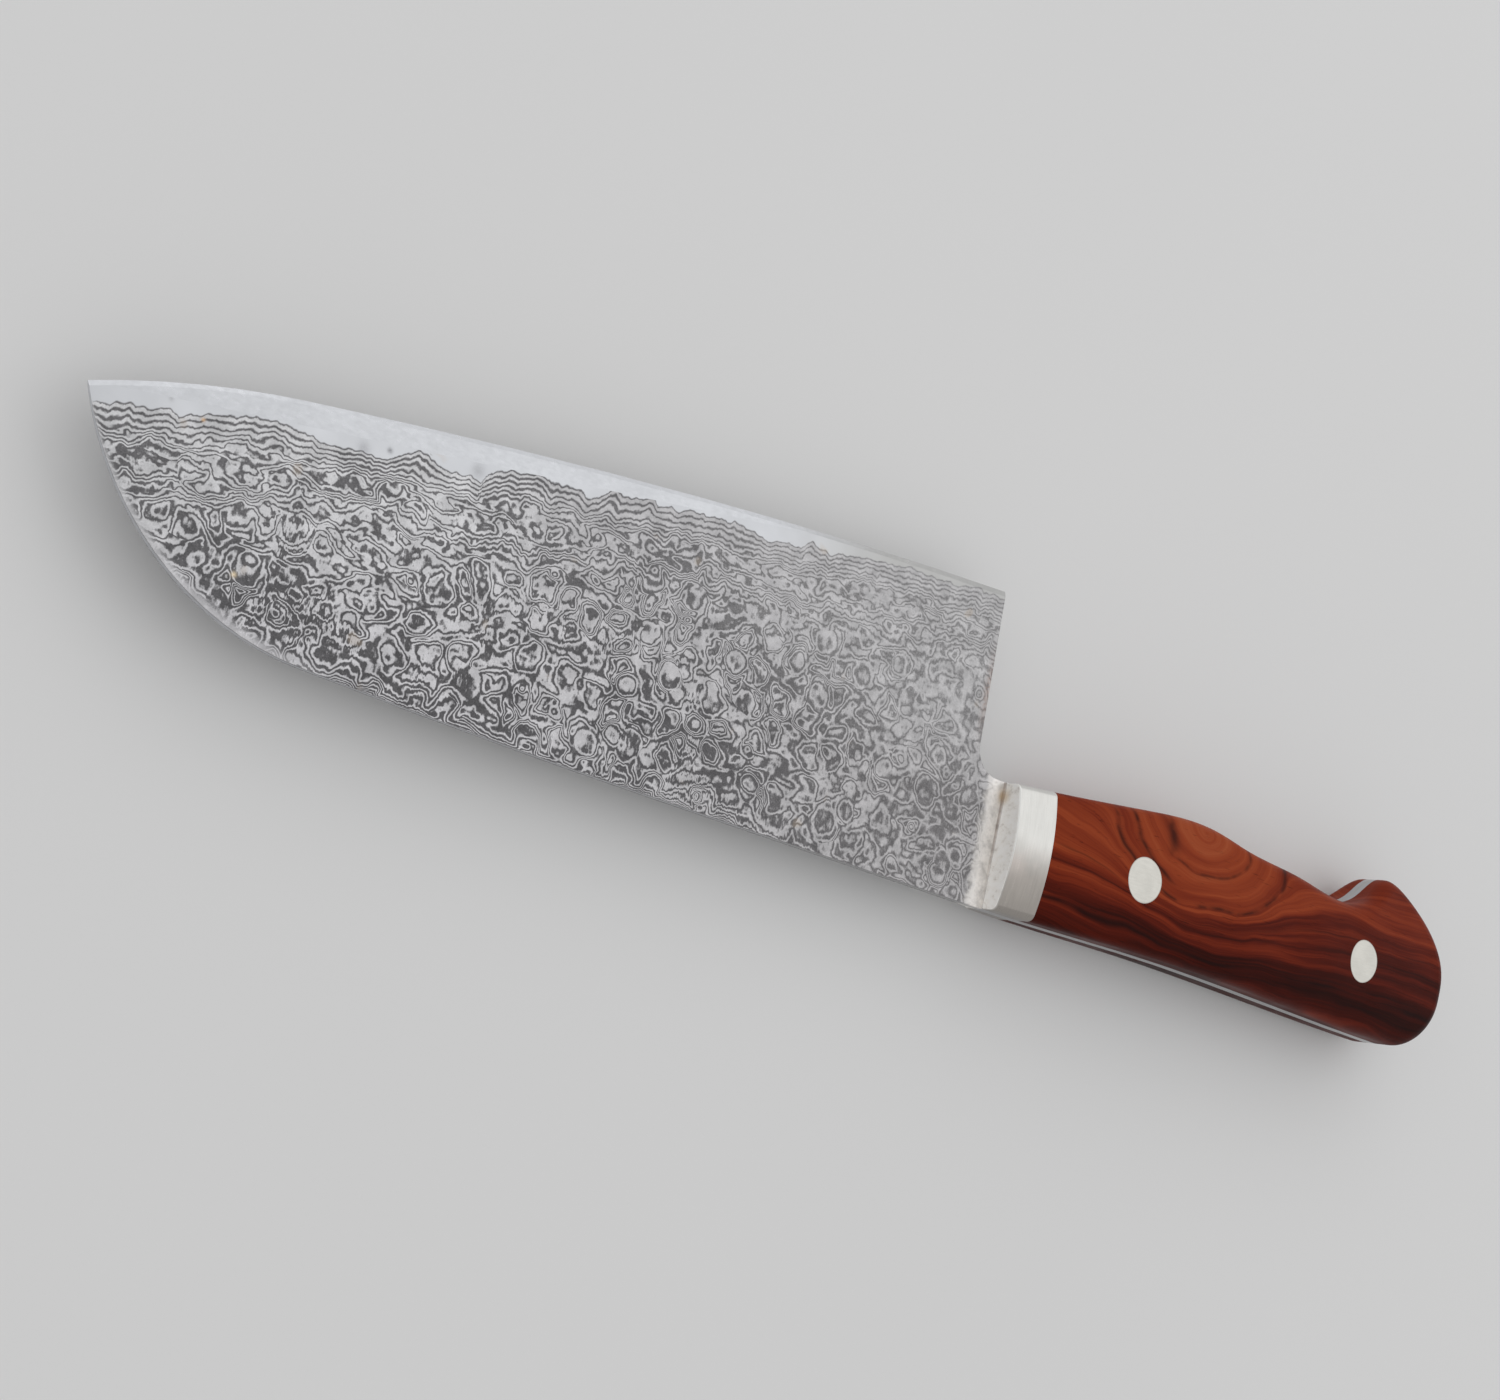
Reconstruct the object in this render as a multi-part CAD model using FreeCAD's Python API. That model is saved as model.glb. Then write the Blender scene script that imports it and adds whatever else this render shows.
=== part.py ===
"""Chef's knife with a laminated blade, full tang, bolster and riveted scales.

The knife lies on its left side.  +X points to the tip, +Y to the spine (the
cutting edge faces -Y) and +Z out of the right side.  Every shape is drawn
from the front face of the bolster, at the spine line, in the centre plane of
the blade.  The finished knife is then moved so that the origin is the centre
of its bounding box, on the surface it lies on.  Millimetres.
"""
import FreeCAD
import Part
import math
import os

V = FreeCAD.Vector

# ---- Blade outline: X forward of the bolster, depth below the spine line ----
HEEL_X = 8.4             # bolster front to the heel corner
BLADE_LENGTH = 166.0     # heel corner to tip, along X
HEEL_DEPTH = 55.3        # spine line to the cutting edge at the heel
TIP_DEPTH = 28.4         # spine line to the tip
EDGE_HEEL_ANGLE = 4.5    # slope of the edge where it leaves the heel, degrees
EDGE_TURN_BACK = 30.4    # behind the tip, where the edge starts to turn up
EDGE_TURN_RISE = 9.1     # how far the tip lies above that point
SPINE_DROP_BACK = 103.0  # behind the tip, where the straight spine ends
SPINE_TURN_BACK = 39.4   # behind the tip, where the spine turns down
SPINE_TURN_DEPTH = 1.2   # depth of the spine at that point
HEEL_LEAN = 1.0          # the back of the heel leans forward this much
CHOIL_RADIUS = 5.0       # round between the back of the heel and the neck

# ---- Blade section ----
SPINE_THICKNESS = 2.6    # over the whole tang; the taper starts at the bolster front
HEEL_THICKNESS = 0.70    # just behind the cutting edge, at the heel
TIP_THICKNESS = 0.60     # at the tip
CORE_THICKNESS = 0.6     # hard core between the two claddings
BEVEL_ANGLE = 20.0       # cutting bevel on each side, degrees
EDGE_LAND = 0.06         # width left at the cutting edge

# ---- Handle outline, from the bolster front back to the butt ----
HANDLE_LENGTH = 124.2    # bolster front to the butt
BOLSTER_LENGTH = 9.2
NECK_DEPTH = 22.7        # depth of blank and bolster at the bolster front
NECK_SLOPE = 0.09        # how the belly line opens behind the bolster
BELLY = [(34.0, 26.9), (52.0, 27.85), (60.3, 26.5)]   # (back from bolster, depth)
WAIST = [(48.0, 25.3), (31.5, 24.2), (24.6, 27.1)]    # (forward of butt, depth)
HOOK = [(18.0, 32.2), (10.8, 29.6), (2.8, 22.3)]      # (forward of butt, depth)
BUTT_FLAT_DEPTH = 14.0   # depth at which the butt becomes upright
BUTT_RADIUS = 11.0       # lower corner of the butt
BACK_SWAY = 0.9          # hollow of the back below the spine line
BACK_SWAY_X = 42.0       # its deepest point behind the bolster front

# ---- Handle section ----
BOLSTER_HALF = 5.3       # half thickness at the bolster front
WOOD_HALF = 6.25         # at the joint between bolster and wood
GRIP_HALF = 7.9          # at the front rivet
SWELL_HALF = 9.0        # widest half thickness, near the butt
SWELL_FROM_BUTT = 22.0
BUTT_HALF = 8.6         # at the butt
CROWN_FRONT = 47.0       # radius of the side's crown at the bolster
CROWN_REAR = 40.0        # and at the butt
CROWN_AXIS_FRONT = 11.4  # depth of the crown's high line at the bolster
CROWN_AXIS_REAR = 14.0   # and at the butt
ROUND_FRONT = 1.4        # rounding of the long edges at the bolster
ROUND_REAR = 3.4         # and from the hook round the butt
BOLSTER_LEAN = 9.0       # lean of the bolster's front face, degrees
BOLSTER_EDGE = 0.35      # rounding of its front edge

# ---- Rivets and bolster dowels ----
FRONT_RIVET = (31.9, 13.5)   # (back from bolster front, depth)
REAR_RIVET = (28.4, 13.4)    # (forward of butt, depth)
RIVET_HEAD = 8.4             # head diameter
RIVET_SEAT = 4.4             # head's seat above the centre plane
RIVET_TUBE = 5.6             # outer diameter of the female half
RIVET_SHANK = 4.0            # shank of the male half, pressed into the tube
RIVET_TIP_GAP = 0.6          # free bore beyond the end of the shank
DOWEL_DIAMETER = 2.5
DOWEL_HALF_LENGTH = 3.6      # blind, each side of the centre plane
DOWEL_X = 5.4                # behind the bolster front
DOWEL_DEPTHS = (6.0, 17.0)

REACH = 40.0                 # cutting solids reach this far past the knife
CUT_MARGIN = 3.0             # and this far past an end that they trim
UNDERCUT = 1.0               # the half handle is drawn this far into the tang, then trimmed
TOUCH = 0.01                 # two positions closer than this are the same

TIP_X = HEEL_X + BLADE_LENGTH
TANG_HALF = SPINE_THICKNESS / 2
CORE_HALF = CORE_THICKNESS / 2


def point(x, depth, z=0.0):
    """A point given by its X and its depth below the spine line."""
    return V(x, -depth, z)


def line(start, end):
    return Part.LineSegment(start, end)


def tangent_arc(start, heading, end):
    """Arc from start, leaving along heading, to end; also its end heading."""
    chord = end - start
    turn = math.atan2(heading.cross(chord).z, heading.dot(chord))
    side = V(chord.y, -chord.x, 0).normalize()
    middle = (start + end) * 0.5 + side * (chord.Length / 2 * math.tan(turn / 2))
    end_heading = FreeCAD.Rotation(V(0, 0, 1), math.degrees(2 * turn)).multVec(heading)
    return Part.ArcOfCircle(start, middle, end), end_heading


def smooth_curve(points, first, last):
    """Curve through the points with the given end directions."""
    curve = Part.BSplineCurve()
    curve.interpolate(Points=points, InitialTangent=first, FinalTangent=last)
    return curve


def edge_arcs():
    """The two arcs of the cutting edge, from the heel to the tip."""
    angle = math.radians(EDGE_HEEL_ANGLE)
    turn = point(TIP_X - EDGE_TURN_BACK, TIP_DEPTH + EDGE_TURN_RISE)
    long_arc, heading = tangent_arc(point(HEEL_X, HEEL_DEPTH),
                                    V(math.cos(angle), math.sin(angle), 0), turn)
    tip_arc, _ = tangent_arc(turn, heading, point(TIP_X, TIP_DEPTH))
    return [long_arc, tip_arc]


def spine_curves():
    """Straight spine, then two arcs down to the tip."""
    drop = point(TIP_X - SPINE_DROP_BACK, 0)
    turn = point(TIP_X - SPINE_TURN_BACK, SPINE_TURN_DEPTH)
    long_arc, heading = tangent_arc(drop, V(1, 0, 0), turn)
    tip_arc, _ = tangent_arc(turn, heading, point(TIP_X, TIP_DEPTH))
    return [line(point(0, 0), drop), long_arc, tip_arc]


def heel_curves():
    """Back of the heel, choil round and neck, from the heel to the bolster."""
    heel = point(HEEL_X, HEEL_DEPTH)
    up = V(-HEEL_LEAN, HEEL_DEPTH - NECK_DEPTH, 0).normalize()
    corner_x = HEEL_X - HEEL_LEAN
    neck_end = point(corner_x - CHOIL_RADIUS, NECK_DEPTH)
    round_start = point(corner_x, NECK_DEPTH) - up * CHOIL_RADIUS
    choil, _ = tangent_arc(round_start, up, neck_end)
    return [line(heel, round_start), choil, line(neck_end, point(0, NECK_DEPTH))]


def handle_curves():
    """Belly, waist, hook, butt and back of the handle, round to the spine."""
    belly = [point(0, NECK_DEPTH)]
    belly += [point(-back, depth) for back, depth in BELLY]
    belly += [point(forward - HANDLE_LENGTH, depth) for forward, depth in WAIST + HOOK]
    belly.append(point(-HANDLE_LENGTH, BUTT_FLAT_DEPTH))
    round_start = point(-HANDLE_LENGTH, BUTT_RADIUS)
    round_end = point(BUTT_RADIUS - HANDLE_LENGTH, 0)
    corner, _ = tangent_arc(round_start, V(0, 1, 0), round_end)
    back = [round_end, point(-BACK_SWAY_X, BACK_SWAY), point(0, 0)]
    return [smooth_curve(belly, V(-1, -NECK_SLOPE, 0), V(0, 1, 0)),
            line(belly[-1], round_start),
            corner,
            smooth_curve(back, V(1, 0, 0), V(1, 0, 0))]


def slab(curves, low, high):
    """Solid of the closed outline between two heights."""
    outline = Part.Wire([curve.toShape() for curve in curves])
    flat = Part.Face(outline)
    flat.translate(V(0, 0, low))
    return flat.extrude(V(0, 0, high - low))


def box(x_low, x_high, z_low, z_high):
    """Box over the whole depth of the knife, for cutting."""
    depth = HEEL_DEPTH + 2 * REACH
    corner = V(x_low, REACH - depth, z_low)
    return Part.makeBox(x_high - x_low, depth, z_high - z_low, corner)


def cylinder(diameter, centre, z_low, z_high):
    return Part.makeCylinder(diameter / 2, z_high - z_low,
                             V(centre.x, centre.y, z_low), V(0, 0, 1))


def mirrored(shape):
    """The left-hand twin of a right-hand shape."""
    return shape.mirror(V(0, 0, 0), V(0, 0, 1))


# ---- Blade ----
def side_slopes():
    """Fall of the blade's right side per mm forward and per mm of depth."""
    to_heel = TANG_HALF - HEEL_THICKNESS / 2
    to_tip = TANG_HALF - TIP_THICKNESS / 2
    spread = TIP_X * HEEL_DEPTH - HEEL_X * TIP_DEPTH
    forward = (to_tip * HEEL_DEPTH - to_heel * TIP_DEPTH) / spread
    down = (to_heel * TIP_X - to_tip * HEEL_X) / spread
    return forward, down


def above_side():
    """Everything above the flat, tapered right side of the blade."""
    forward, down = side_slopes()
    far = TIP_X + REACH
    deep = HEEL_DEPTH + REACH
    top = TANG_HALF + REACH

    def side_height(x, depth):
        return TANG_HALF - forward * x - down * depth

    corners = [(0, -REACH), (far, -REACH), (far, deep), (0, deep)]
    base = [point(x, depth, side_height(x, depth)) for x, depth in corners]
    roof = [point(x, depth, top) for x, depth in corners]
    faces = [Part.Face(Part.makePolygon(base + base[:1])),
             Part.Face(Part.makePolygon(roof + roof[:1]))]
    for i in range(4):
        j = (i + 1) % 4
        faces.append(Part.Face(Part.makePolygon([base[i], base[j], roof[j], roof[i], base[i]])))
    return Part.Solid(Part.makeShell(faces))


def bevel_cutters():
    """Cones that grind the right side of the cutting bevel along both arcs."""
    slope = math.tan(math.radians(BEVEL_ANGLE))
    cutters = []
    for arc, start_margin in zip(edge_arcs(), (CUT_MARGIN, 0.0)):
        centre = arc.Center
        start = arc.StartPoint - centre
        end = arc.EndPoint - centre
        sweep = math.degrees(math.atan2(start.cross(end).z, start.dot(end)))
        radial = V(start).normalize()
        lead_in = math.degrees(start_margin / arc.Radius)
        lead_out = math.degrees(CUT_MARGIN / arc.Radius)

        def section_point(out, height):
            return centre + radial * (arc.Radius + out) + V(0, 0, height)

        rise = CUT_MARGIN * slope
        corners = [section_point(CUT_MARGIN, EDGE_LAND / 2 - rise),
                   section_point(-CUT_MARGIN, EDGE_LAND / 2 + rise),
                   section_point(CUT_MARGIN, EDGE_LAND / 2 + rise)]
        section = Part.Face(Part.makePolygon(corners + corners[:1]))
        section.rotate(centre, V(0, 0, 1), -lead_in)
        cutters.append(section.revolve(centre, V(0, 0, 1), lead_in + sweep + lead_out))
    return cutters


def rivet_centres():
    front = point(-FRONT_RIVET[0], FRONT_RIVET[1])
    rear = point(REAR_RIVET[0] - HANDLE_LENGTH, REAR_RIVET[1])
    return {"front": front, "rear": rear}


def dowel_centres():
    return [point(-DOWEL_X, depth) for depth in DOWEL_DEPTHS]


def blade_blank():
    """Ground and drilled blade and tang, before it is split into its layers."""
    outline = spine_curves() + edge_arcs()[::-1] + heel_curves() + handle_curves()
    blank = slab(outline, -TANG_HALF, TANG_HALF)
    side = above_side()
    cutters = [side] + bevel_cutters()
    for cutter in cutters:
        blank = blank.cut(cutter)
        blank = blank.cut(mirrored(cutter))
    for centre in rivet_centres().values():
        blank = blank.cut(cylinder(RIVET_TUBE, centre, -REACH, REACH))
    for centre in dowel_centres():
        blank = blank.cut(cylinder(DOWEL_DIAMETER, centre, -REACH, REACH))
    return blank


def layers(blank):
    """Hard core and the two claddings welded to it."""
    core = blank.common(box(-HANDLE_LENGTH - REACH, TIP_X + REACH, -CORE_HALF, CORE_HALF))
    right = blank.common(box(-HANDLE_LENGTH - REACH, TIP_X + REACH, CORE_HALF, REACH))
    left = blank.common(box(-HANDLE_LENGTH - REACH, TIP_X + REACH, -REACH, -CORE_HALF))
    return {"blade_core": core, "cladding_right": right, "cladding_left": left}


# ---- Handle ----
def crown_half_width():
    """From the crown's high line to past the deepest point of the hook."""
    deepest = max(depth for _, depth in BELLY + WAIST + HOOK)
    return deepest - min(CROWN_AXIS_FRONT, CROWN_AXIS_REAR) + CUT_MARGIN


def crown_section(x, half_thickness):
    """Closed section of the crowned side at one station."""
    share = -x / HANDLE_LENGTH
    radius = CROWN_FRONT + (CROWN_REAR - CROWN_FRONT) * share
    axis = CROWN_AXIS_FRONT + (CROWN_AXIS_REAR - CROWN_AXIS_FRONT) * share
    half_width = crown_half_width()
    drop = radius - math.sqrt(radius ** 2 - half_width ** 2)
    floor = -REACH
    belly_side = point(x, axis + half_width, half_thickness - drop)
    back_side = point(x, axis - half_width, half_thickness - drop)
    curves = [Part.ArcOfCircle(belly_side, point(x, axis, half_thickness), back_side),
              line(back_side, V(x, back_side.y, floor)),
              line(V(x, back_side.y, floor), V(x, belly_side.y, floor)),
              line(V(x, belly_side.y, floor), belly_side)]
    return Part.Wire([curve.toShape() for curve in curves])


def crowned_side():
    """Solid under the crowned right side of bolster and scale."""
    flare = (WOOD_HALF - BOLSTER_HALF) / BOLSTER_LENGTH
    stations = [(CUT_MARGIN, BOLSTER_HALF - CUT_MARGIN * flare),
                (-BOLSTER_LENGTH, WOOD_HALF),
                (-FRONT_RIVET[0], GRIP_HALF),
                (SWELL_FROM_BUTT - HANDLE_LENGTH, SWELL_HALF),
                (-HANDLE_LENGTH - CUT_MARGIN, BUTT_HALF)]
    return Part.makeLoft([crown_section(x, half) for x, half in stations], True, False)


def long_edge_rounds(body):
    """Round the long edges, from ROUND_FRONT at the bolster to ROUND_REAR."""
    radii = []
    for number, edge in enumerate(body.Edges, 1):
        spans = edge.BoundBox
        at_front = spans.XMax > -TOUCH
        across_front = at_front and spans.XLength < TOUCH
        if spans.ZMin < TANG_HALF or across_front:
            continue
        if not at_front:
            radii.append((number, ROUND_REAR, ROUND_REAR))
        elif spans.YMax > -TOUCH:
            radii.append((number, ROUND_FRONT, ROUND_REAR))
        else:
            radii.append((number, ROUND_REAR, ROUND_FRONT))
    document = FreeCAD.newDocument("rounding")
    base = document.addObject("Part::Feature", "base")
    base.Shape = body
    rounded = document.addObject("Part::Fillet", "rounded")
    rounded.Base = base
    rounded.Edges = radii
    document.recompute()
    shape = rounded.Shape.copy()
    FreeCAD.closeDocument(document.Name)
    return shape


def handle_half():
    """Right half of the handle in one piece, above the face of the tang."""
    outline = handle_curves() + [line(point(0, 0), point(0, NECK_DEPTH))]
    body = slab(outline, TANG_HALF - UNDERCUT, REACH).common(crowned_side())
    rounded = long_edge_rounds(body)
    return rounded.common(box(-HANDLE_LENGTH - REACH, REACH, 0, REACH))


def bolster_front_cutter():
    """Everything ahead of the bolster's leaning front face."""
    lean = REACH * math.tan(math.radians(BOLSTER_LEAN))
    corners = [V(0, REACH, 0), V(REACH, REACH, 0), V(REACH, REACH, REACH), V(-lean, REACH, REACH)]
    face = Part.Face(Part.makePolygon(corners + corners[:1]))
    return face.extrude(V(0, -HEEL_DEPTH - 2 * REACH, 0))


def bolster_front_edge(bolster):
    """Edges between the bolster's front face and its crowned, rounded side."""
    set_back = (WOOD_HALF + TOUCH) * math.tan(math.radians(BOLSTER_LEAN))
    return [edge for edge in bolster.Edges
            if edge.BoundBox.XMin > -set_back and edge.BoundBox.ZMin > TANG_HALF]


def handle_parts(blank):
    """Bolster and scale of each side, drilled for rivets and dowels."""
    half = handle_half()
    bolster = half.common(box(-BOLSTER_LENGTH, REACH, -REACH, REACH))
    bolster = bolster.cut(bolster_front_cutter())
    bolster = bolster.makeFillet(BOLSTER_EDGE, bolster_front_edge(bolster))
    scale = half.common(box(-HANDLE_LENGTH - REACH, -BOLSTER_LENGTH, TANG_HALF, REACH))
    bolster = bolster.cut(blank)
    for centre in dowel_centres():
        bolster = bolster.cut(cylinder(DOWEL_DIAMETER, centre, -REACH, DOWEL_HALF_LENGTH))
    for centre in rivet_centres().values():
        scale = scale.cut(cylinder(RIVET_TUBE, centre, -REACH, RIVET_SEAT))
        scale = scale.cut(cylinder(RIVET_HEAD, centre, RIVET_SEAT, REACH))
    return {"bolster_right": bolster, "bolster_left": mirrored(bolster),
            "scale_right": scale, "scale_left": mirrored(scale)}, half


def rivets(half):
    """Each rivet is a headed tube and a headed shank pressed into it."""
    parts = {}
    for name, centre in rivet_centres().items():
        head = half.common(cylinder(RIVET_HEAD, centre, RIVET_SEAT, REACH))
        tube = mirrored(head).fuse(cylinder(RIVET_TUBE, centre, -RIVET_SEAT, RIVET_SEAT))
        tube = tube.cut(cylinder(RIVET_SHANK, centre, -RIVET_SEAT, RIVET_SEAT))
        shank = head.fuse(cylinder(RIVET_SHANK, centre, RIVET_TIP_GAP - RIVET_SEAT, RIVET_SEAT))
        parts[name + "_rivet_tube"] = tube
        parts[name + "_rivet_shank"] = shank
    return parts


def dowels():
    names = ("upper", "lower")
    return {"bolster_dowel_" + name: cylinder(DOWEL_DIAMETER, centre,
                                              -DOWEL_HALF_LENGTH, DOWEL_HALF_LENGTH)
            for name, centre in zip(names, dowel_centres())}


def main():
    blank = blade_blank()
    nodes = layers(blank)
    handle, half = handle_parts(blank)
    nodes.update(handle)
    nodes.update(rivets(half))
    nodes.update(dowels())

    everything = Part.makeCompound(list(nodes.values()))
    extent = everything.optimalBoundingBox(False, False)
    shift = V(-extent.Center.x, -extent.Center.y, -extent.ZMin)
    print("bolster front at", tuple(round(value, 4) for value in shift))
    os.makedirs("parts", exist_ok=True)
    for name, shape in nodes.items():
        shape.translate(shift)
        shape.exportStep("parts/" + name + ".step")
        print(name, "valid", shape.isValid(), "solids", len(shape.Solids),
              "volume", round(shape.Volume, 2))


main()
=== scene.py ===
import math

import bpy
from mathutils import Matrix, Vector


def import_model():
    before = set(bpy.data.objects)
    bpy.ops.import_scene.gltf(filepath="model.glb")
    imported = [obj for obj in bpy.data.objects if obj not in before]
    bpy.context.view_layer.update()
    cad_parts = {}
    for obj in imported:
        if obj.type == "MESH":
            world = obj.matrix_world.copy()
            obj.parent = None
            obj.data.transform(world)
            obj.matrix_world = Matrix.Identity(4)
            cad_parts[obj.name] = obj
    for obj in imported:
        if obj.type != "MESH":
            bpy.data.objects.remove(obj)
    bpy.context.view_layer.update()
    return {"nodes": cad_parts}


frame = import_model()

# The materials are laid out in millimetres, as the CAD model is. A place on
# the knife is x, forward of the bolster's front face, depth, below the line
# of the straight spine, and z, out from the blade's centre plane.
MM = 0.001
BOLSTER_X = -25.1
SPINE_Y = 27.65
CENTRE_Z = 9.1267


# ---- Shader arithmetic ----
class Field:
    """A value that shader nodes compute. Arithmetic on it adds nodes."""

    def __init__(self, graph, socket):
        self.graph = graph
        self.socket = socket

    def __add__(self, other):
        return self.graph.math("ADD", self, other)

    def __sub__(self, other):
        return self.graph.math("SUBTRACT", self, other)

    def __mul__(self, other):
        return self.graph.math("MULTIPLY", self, other)

    def __truediv__(self, other):
        return self.graph.math("DIVIDE", self, other)

    def __radd__(self, other):
        return self.graph.math("ADD", other, self)

    def __rsub__(self, other):
        return self.graph.math("SUBTRACT", other, self)

    def __rmul__(self, other):
        return self.graph.math("MULTIPLY", other, self)

    def __rtruediv__(self, other):
        return self.graph.math("DIVIDE", other, self)


class Graph:
    """One material's node tree, with the place and normal at the point shaded."""

    def __init__(self, name):
        self.material = bpy.data.materials.new(name)
        self.material.use_nodes = True
        self.tree = self.material.node_tree
        self.tree.nodes.clear()
        output = self.tree.nodes.new("ShaderNodeOutputMaterial")
        self.shader = self.tree.nodes.new("ShaderNodeBsdfPrincipled")
        self.tree.links.new(self.shader.outputs[0], output.inputs["Surface"])
        coordinates = self.tree.nodes.new("ShaderNodeTexCoord")
        self.place = self.scaled(coordinates.outputs["Object"], 1 / MM)
        geometry = self.tree.nodes.new("ShaderNodeNewGeometry")
        self.normal = self.split(geometry.outputs["Normal"])
        x, y, z = self.split(self.place)
        self.x = x - BOLSTER_X
        self.depth = SPINE_Y - y
        self.z = z - CENTRE_Z

    def put(self, socket, value):
        """Link a computed value to a socket, or set the socket to a constant."""
        if isinstance(value, Field):
            value = value.socket
        if isinstance(value, bpy.types.NodeSocket):
            self.tree.links.new(value, socket)
        elif socket.type == "VECTOR":
            socket.default_value = value[:3]
        else:
            socket.default_value = value

    def node(self, kind, **given):
        """First output of a new node; given holds its settings, then its inputs."""
        made = self.tree.nodes.new(kind)
        for key, value in given.items():
            if hasattr(made, key):
                setattr(made, key, value)
            else:
                self.put(made.inputs[key.replace("_", " ")], value)
        return Field(self, made.outputs[0])

    def math(self, operation, a, b=0.0):
        made = self.tree.nodes.new("ShaderNodeMath")
        made.operation = operation
        self.put(made.inputs[0], a)
        self.put(made.inputs[1], b)
        return Field(self, made.outputs[0])

    def clamp(self, value, top):
        """The value, held between 0 and top."""
        return self.math("MINIMUM", self.math("MAXIMUM", value, 0.0), top)

    def length(self, a, b):
        return self.math("SQRT", a * a + b * b)

    def stripes(self, value):
        """From 0 at whole numbers to 1 halfway between them."""
        return self.math("PINGPONG", value, 0.5) * 2.0

    def split(self, vector):
        made = self.tree.nodes.new("ShaderNodeSeparateXYZ")
        self.put(made.inputs[0], vector)
        return [Field(self, output) for output in made.outputs]

    def join(self, x, y, z=0.0):
        return self.node("ShaderNodeCombineXYZ", X=x, Y=y, Z=z)

    def noise(self, vector, scale=1.0, detail=2.0, rough=0.5):
        """Noise from 0 to 1, mean 0.5; scale is features per millimetre."""
        return self.node("ShaderNodeTexNoise", noise_dimensions="3D", Vector=vector,
                         Scale=scale, Detail=detail, Roughness=rough)

    def step(self, value, low, high, start=0.0, end=1.0):
        """Smooth step from start to end as value goes from low to high."""
        return self.node("ShaderNodeMapRange", interpolation_type="SMOOTHSTEP", Value=value,
                         From_Min=low, From_Max=high, To_Min=start, To_Max=end)

    def bell(self, value, centre, width):
        """1 at the centre, falling to 0 either side."""
        away = (value - centre) / width
        return self.math("EXPONENT", away * away * -1.0)

    def mix(self, share, a, b):
        """Colour a, with a share of colour b."""
        made = self.tree.nodes.new("ShaderNodeMix")
        made.data_type = "RGBA"
        self.put(made.inputs[0], share)
        self.put(made.inputs[6], a)
        self.put(made.inputs[7], b)
        return Field(self, made.outputs[2])

    def scaled(self, colour, by):
        return self.node("ShaderNodeVectorMath", operation="SCALE", Vector=colour, Scale=by)

    def ramp(self, value, stops):
        """Colour that goes through the stops, each a value and its colour."""
        made = self.tree.nodes.new("ShaderNodeValToRGB")
        self.put(made.inputs[0], value)
        elements = made.color_ramp.elements
        elements[0].position, elements[0].color = stops[0]
        elements[1].position, elements[1].color = stops[-1]
        for position, colour in stops[1:-1]:
            elements.new(position).color = colour
        return Field(self, made.outputs[0])

    def curve(self, value, points):
        """Straight lines through the points (value, result)."""
        made = self.tree.nodes.new("ShaderNodeFloatCurve")
        start, end = points[0][0], points[-1][0]
        top = max(result for _, result in points)
        self.put(made.inputs["Value"], (value - start) / (end - start))
        line = made.mapping.curves[0]
        for place, result in points[1:-1]:
            line.points.new((place - start) / (end - start), result / top)
        line.points[0].location = (0.0, points[0][1] / top)
        line.points[len(points) - 1].location = (1.0, points[-1][1] / top)
        for point in line.points:
            point.handle_type = "VECTOR"
        made.mapping.update()
        return Field(self, made.outputs[0]) * top

    def bump(self, height, distance, strength):
        """Bump; distance in millimetres."""
        return self.node("ShaderNodeBump", Height=height, Distance=distance * MM,
                         Strength=strength)

    def finish(self, **sockets):
        """The material, with these inputs on its shader."""
        for key, value in sockets.items():
            self.put(self.shader.inputs[key.replace("_", " ")], value)
        return self.material


def grey(level):
    """Linear grey, with alpha."""
    return (level, level, level, 1.0)


def srgb(red, green, blue):
    """Linear colour, with alpha, of an 8-bit display colour."""
    linear = [((c / 255 + 0.055) / 1.055) ** 2.4 if c > 10 else c / 3295
              for c in (red, green, blue)]
    return (*linear, 1.0)


def paint(material, *names):
    """Put the material on every slot of the named nodes."""
    for name in names:
        for slot in frame["nodes"][name].material_slots:
            slot.material = material


# ---- Blade ----
# Outline in x and depth. The edge is two arcs that meet smoothly.
HEEL = (8.4, 55.3)
TIP = (174.4, 28.4)
EDGE_CLIMB = math.radians(4.5)     # toward the spine, where the edge leaves the heel
EDGE_TURN = (144.0, 37.5)          # where the long arc meets the tip's
TURN_BLEND = 2.0                   # and the two are blended either side of it
FALL_START, FALL_RADIUS = 71.4, 1676.0     # the spine's gentle fall
NOSE_START, NOSE_RADIUS = 135.0, 44.5      # its turn down to the tip

# Width of the bare strip along the edge: x, width.
BARE_STRIP = [
    (9.8, 1.9), (13.7, 1.8), (17.0, 1.4), (20.9, 2.4), (23.8, 2.7), (28.6, 1.4), (32.4, 2.0),
    (36.3, 2.1), (41.1, 2.3), (45.4, 2.9), (47.8, 3.5), (50.2, 3.2), (52.9, 2.3), (54.5, 3.5),
    (58.4, 3.6), (61.7, 4.0), (65.6, 3.1), (68.5, 2.3), (69.9, 2.6), (72.8, 2.9), (77.6, 2.5),
    (83.4, 3.2), (84.3, 2.4), (88.4, 2.9), (92.2, 2.9), (94.6, 4.4), (95.8, 5.2), (98.2, 3.8),
    (101.4, 4.1), (104.7, 3.1), (108.1, 3.0), (111.5, 3.5), (113.8, 4.4), (114.5, 6.8),
    (118.0, 5.9), (122.0, 5.0), (125.6, 3.9), (128.5, 4.8), (130.2, 6.1), (133.6, 6.3),
    (139.3, 5.9), (143.2, 4.9), (148.0, 3.8), (149.9, 4.0), (152.1, 3.3), (156.7, 4.2),
    (159.5, 4.4), (164.8, 3.6), (169.2, 3.3), (173.4, 2.6)]
SECOND_LINES = 8.0       # from the bare strip in to the second set of lines

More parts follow.
